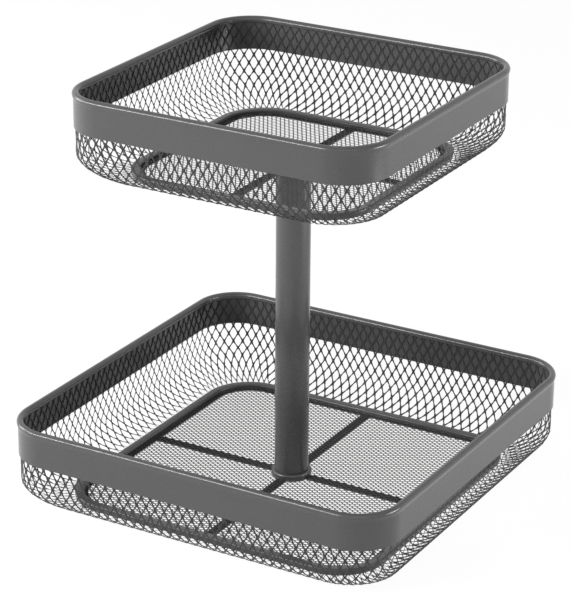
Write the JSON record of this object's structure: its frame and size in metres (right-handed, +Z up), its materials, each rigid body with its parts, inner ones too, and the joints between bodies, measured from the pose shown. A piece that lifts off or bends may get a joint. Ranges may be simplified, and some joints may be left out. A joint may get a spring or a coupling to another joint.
{
  "type": "tiered wire basket",
  "caption": "Square mesh trays with sheet rims, one above another on a central post, for keeping fruit and bread; the upper tray turns.",
  "frame": {"origin": "on the surface that the basket stands on, under the post's axis", "axes": "+Z up along the post; X and Y along the sides of the trays"},
  "size_m": [0.3016, 0.3016, 0.3025],
  "materials": {
    "coated_steel": "satin anthracite powder coat",
    "coated_mesh": "satin anthracite powder coat on expanded metal",
    "plug": "turned steel",
    "fastener": "black coated steel"
  },
  "bodies": {
    "lower_tray_and_post": {"lower_rim_band": "coated_steel", "lower_side_mesh": "coated_mesh", "lower_base_ring": "coated_steel", "lower_floor_mesh": "coated_mesh", "lower_hub": "coated_steel", "lower_cross_bar_right": "coated_steel", "lower_cross_bar_back": "coated_steel", "lower_cross_bar_left": "coated_steel", "lower_cross_bar_front": "coated_steel", "post_tube": "coated_steel", "post_lower_plug": "plug", "post_upper_plug": "plug", "tray_washers": "fastener", "tray_screws": "fastener"},
    "upper_tray": {"upper_rim_band": "coated_steel", "upper_side_mesh": "coated_mesh", "upper_base_ring": "coated_steel", "upper_floor_mesh": "coated_mesh", "upper_hub": "coated_steel", "upper_cross_bar_right": "coated_steel", "upper_cross_bar_back": "coated_steel", "upper_cross_bar_left": "coated_steel", "upper_cross_bar_front": "coated_steel"}
  },
  "joints": [
    {"name": "upper_tray_turn", "type": "hinge", "parent": "lower_tray_and_post", "child": "upper_tray", "pos_m": [0, 0, 0.244], "axis": [0, 0, 1], "continuous": true}
  ]
}
